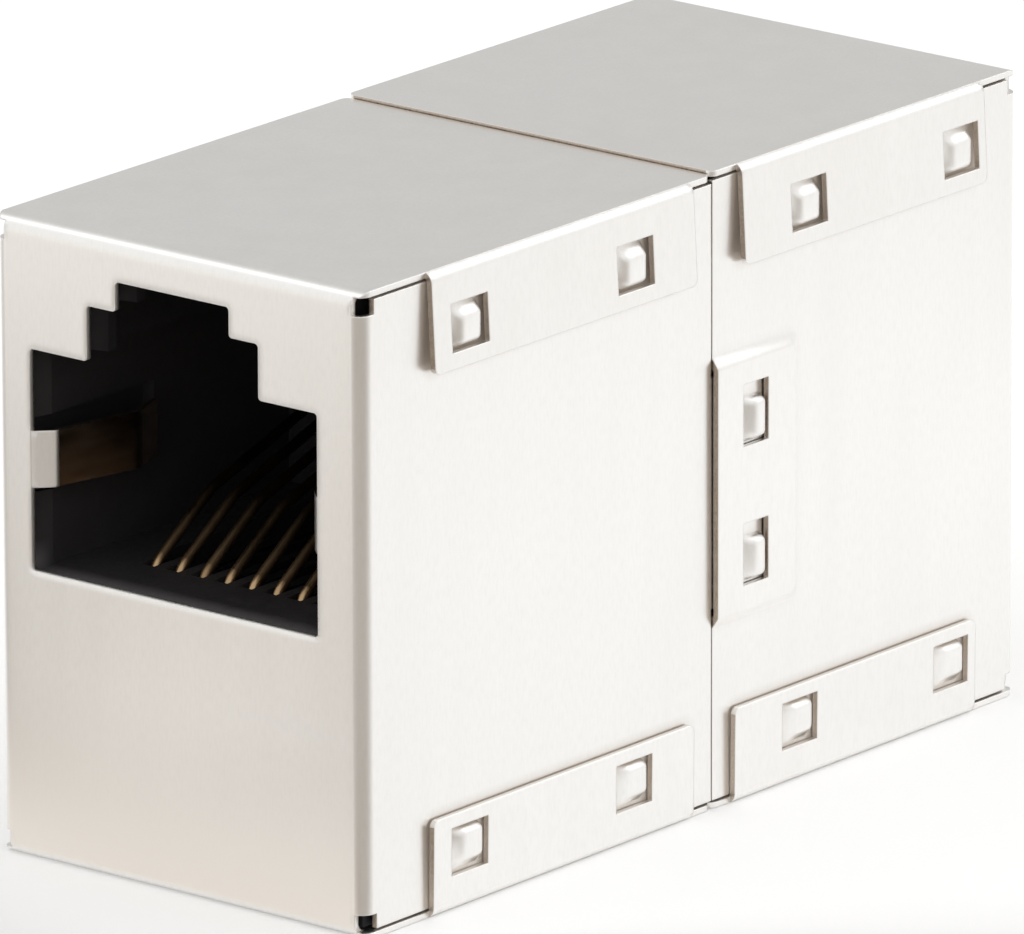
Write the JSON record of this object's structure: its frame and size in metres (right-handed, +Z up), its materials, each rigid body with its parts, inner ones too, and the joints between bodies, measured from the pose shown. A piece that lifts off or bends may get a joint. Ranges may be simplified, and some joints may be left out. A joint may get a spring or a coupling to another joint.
{
  "type": "rj45 inline coupler",
  "caption": "Shielded inline coupler that joins network patch cables end to end: stepped modular ports back to back in folded metal shells that snap together at a seam.",
  "frame": {"origin": "middle of the underside, on the resting face", "axes": "+Z up towards the latch slots, -Y out of the front port, +X to the right of someone facing the front port"},
  "size_m": [0.016, 0.034, 0.0215],
  "materials": {
    "shell_metal": "nickel-plated sheet, satin",
    "housing_plastic": "moulded, satin black",
    "insert_plastic": "moulded, satin black",
    "tray_plastic": "moulded, matt black",
    "board_laminate": "glass-fibre laminate with green solder mask",
    "contact_metal": "gold-plated spring wire"
  },
  "bodies": {
    "root": {"front_shield": "shell_metal", "rear_shield": "shell_metal", "insulating_tray": "tray_plastic", "circuit_board": "board_laminate", "front_jack_housing": "housing_plastic", "front_contact_insert": "insert_plastic", "front_contact_1": "contact_metal", "front_contact_2": "contact_metal", "front_contact_3": "contact_metal", "front_contact_4": "contact_metal", "front_contact_5": "contact_metal", "front_contact_6": "contact_metal", "front_contact_7": "contact_metal", "front_contact_8": "contact_metal", "rear_jack_housing": "housing_plastic", "rear_contact_insert": "insert_plastic", "rear_contact_1": "contact_metal", "rear_contact_2": "contact_metal", "rear_contact_3": "contact_metal", "rear_contact_4": "contact_metal", "rear_contact_5": "contact_metal", "rear_contact_6": "contact_metal", "rear_contact_7": "contact_metal", "rear_contact_8": "contact_metal"}
  },
  "joints": []
}
